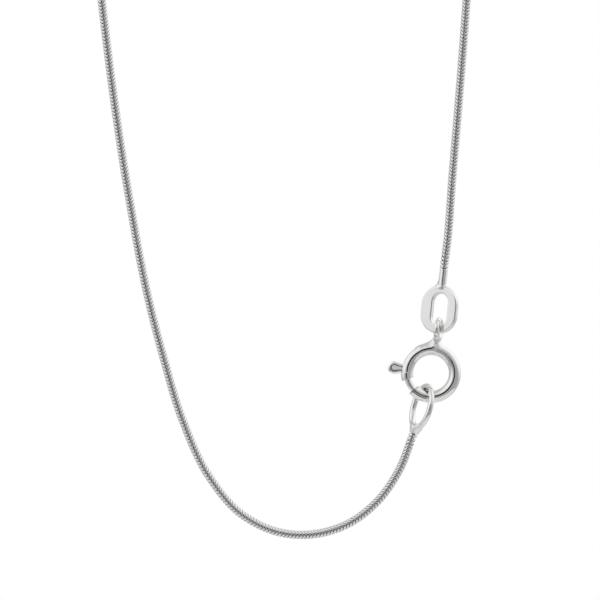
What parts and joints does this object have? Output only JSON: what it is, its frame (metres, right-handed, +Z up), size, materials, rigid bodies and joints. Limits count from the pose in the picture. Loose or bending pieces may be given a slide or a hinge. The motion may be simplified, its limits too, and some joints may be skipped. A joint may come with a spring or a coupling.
{
  "type": "snake chain necklace",
  "caption": "Round snake chain necklace hanging as a closed loop, fastened by a spring ring clasp with a sliding bolt, a slotted oval end tag and a wire end loop.",
  "frame": {"origin": "the middle of the chain's thickness at the top of its hanging loop, where it hangs", "axes": "+X to the right across the loop, +Z up, and the clasp's face looks along -Y"},
  "size_m": [0.0525, 0.0036, 0.189],
  "materials": {
    "chain_links": "bright polished white gold, broken up by the small links",
    "tag_metal": "polished white gold, slightly satin on the flat faces",
    "ring_metal": "mirror-polished white gold",
    "bolt_metal": "polished white gold wire",
    "loop_metal": "polished white gold with a softer soldered neck"
  },
  "bodies": {
    "necklace": {"chain": "chain_links", "end_tag": "tag_metal", "spring_ring": "ring_metal", "end_loop": "loop_metal"},
    "bolt": {"spring_bolt": "bolt_metal"}
  },
  "joints": [
    {"name": "bolt_slide", "type": "hinge", "parent": "necklace", "child": "bolt", "pos_m": [0.0167, 0, -0.17136], "axis": [0, 1, 0], "range_deg": [0, 36], "stiffness_Nm_per_rad": 0.000002, "springref_deg": -5.73}
  ]
}
